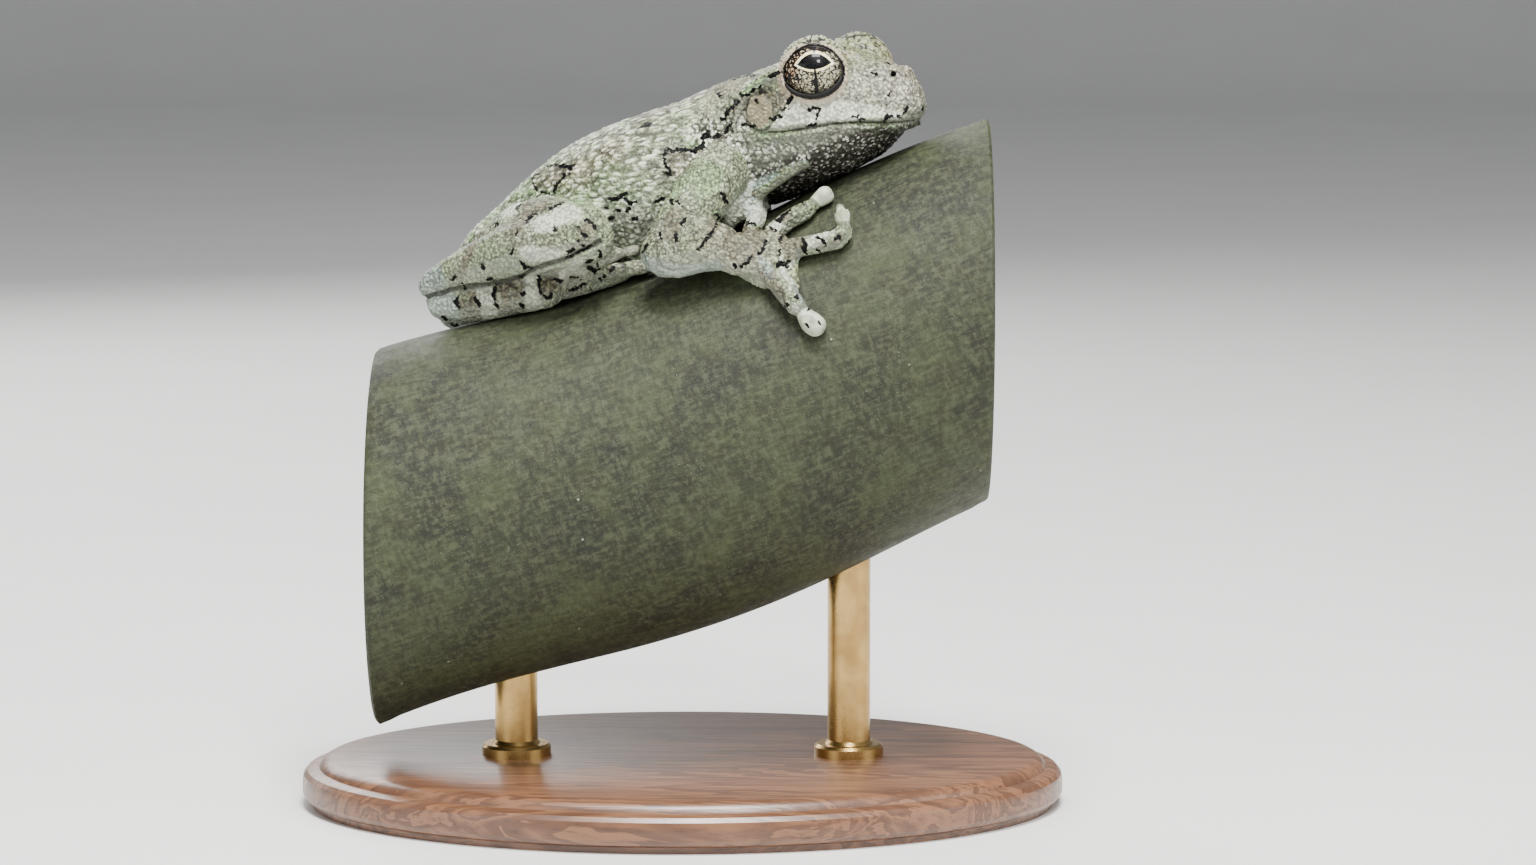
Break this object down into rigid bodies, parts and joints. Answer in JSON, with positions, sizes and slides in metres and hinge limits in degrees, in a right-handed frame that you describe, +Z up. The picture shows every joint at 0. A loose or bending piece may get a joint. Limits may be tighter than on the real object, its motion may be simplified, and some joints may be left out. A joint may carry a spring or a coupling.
{
  "type": "copes gray treefrog on a perch",
  "caption": "Life-size gray treefrog, crouched and gripping a short cut limb with its toe pads, held by rods over a flat oval base.",
  "frame": {"origin": "centre of the underside of the oval base", "axes": "+X the way the limb rises and the frog faces, +Y towards the frog's left side, +Z up"},
  "size_m": [0.064, 0.046, 0.0645],
  "materials": {
    "skin": "granular, slightly moist skin, pale grey-cream with dark flecks and bands",
    "throat_skin": "granular skin, dark throat with pale granules",
    "eye": "wet, silver and bronze iris with a flat black pupil",
    "bark": "smooth olive bark with algae and pale lichen specks",
    "base_wood": "satin walnut",
    "rod": "brushed"
  },
  "bodies": {
    "root": {"head": "skin", "torso": "skin", "upper_arm_right": "skin", "forearm_right": "skin", "hand_right": "skin", "thigh_right": "skin", "shank_right": "skin", "foot_right": "skin", "upper_arm_left": "skin", "forearm_left": "skin", "hand_left": "skin", "thigh_left": "skin", "shank_left": "skin", "foot_left": "skin", "lower_jaw": "throat_skin", "eye_right": "eye", "eye_left": "eye", "perch_limb": "bark", "stand_base": "base_wood", "stand_rod_front": "rod", "stand_rod_rear": "rod"}
  },
  "joints": []
}
